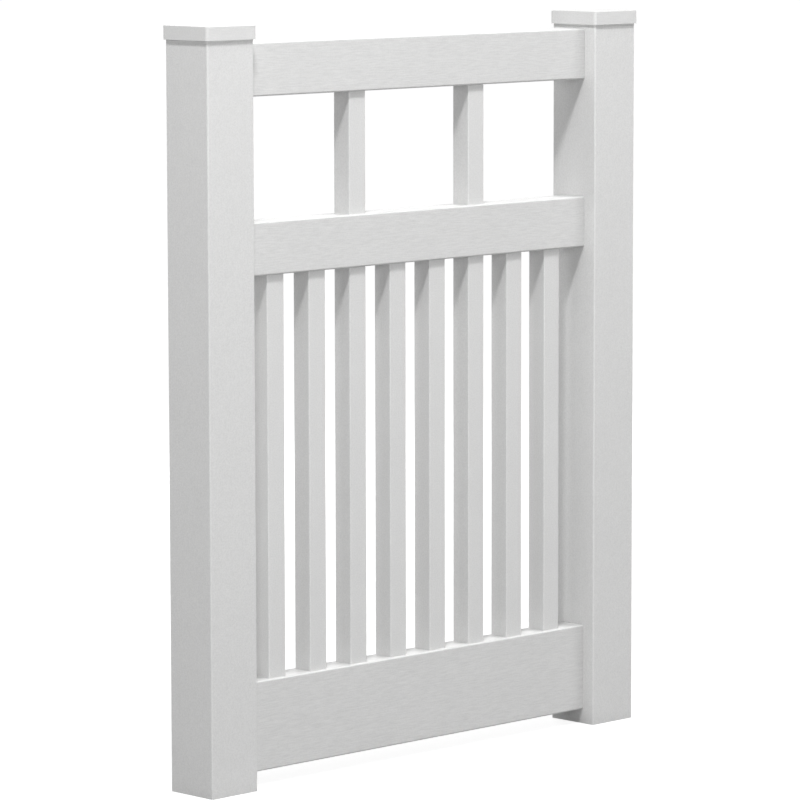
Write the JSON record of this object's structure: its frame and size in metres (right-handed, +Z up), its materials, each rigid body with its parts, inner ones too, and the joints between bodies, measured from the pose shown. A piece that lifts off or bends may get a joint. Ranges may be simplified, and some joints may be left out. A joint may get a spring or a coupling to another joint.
{
  "type": "semi-privacy gate",
  "caption": "White vinyl gate with square capped posts, plain rails and spaced square pickets, open above the middle rail.",
  "frame": {"origin": "centre of the left post's foot, on its flat lower face", "axes": "+X from the left post to the right post, -Y towards the front, +Z up the posts"},
  "size_m": [1.0234, 0.109, 1.2665],
  "materials": {
    "post_vinyl": "smooth satin white rigid vinyl",
    "cap_vinyl": "moulded satin white rigid vinyl",
    "plug_plastic": "moulded satin white plastic",
    "rail_vinyl": "satin white rigid vinyl with faint lines along the rail",
    "picket_vinyl": "smooth satin white rigid vinyl"
  },
  "bodies": {
    "root": {"left_post": "post_vinyl", "right_post": "post_vinyl", "left_post_cap": "cap_vinyl", "right_post_cap": "cap_vinyl", "left_foot_plug": "plug_plastic", "right_foot_plug": "plug_plastic", "bottom_rail": "rail_vinyl", "middle_rail": "rail_vinyl", "top_rail": "rail_vinyl", "picket_1": "picket_vinyl", "picket_2": "picket_vinyl", "tall_picket_3": "picket_vinyl", "picket_4": "picket_vinyl", "picket_5": "picket_vinyl", "tall_picket_6": "picket_vinyl", "picket_7": "picket_vinyl", "picket_8": "picket_vinyl"}
  },
  "joints": []
}
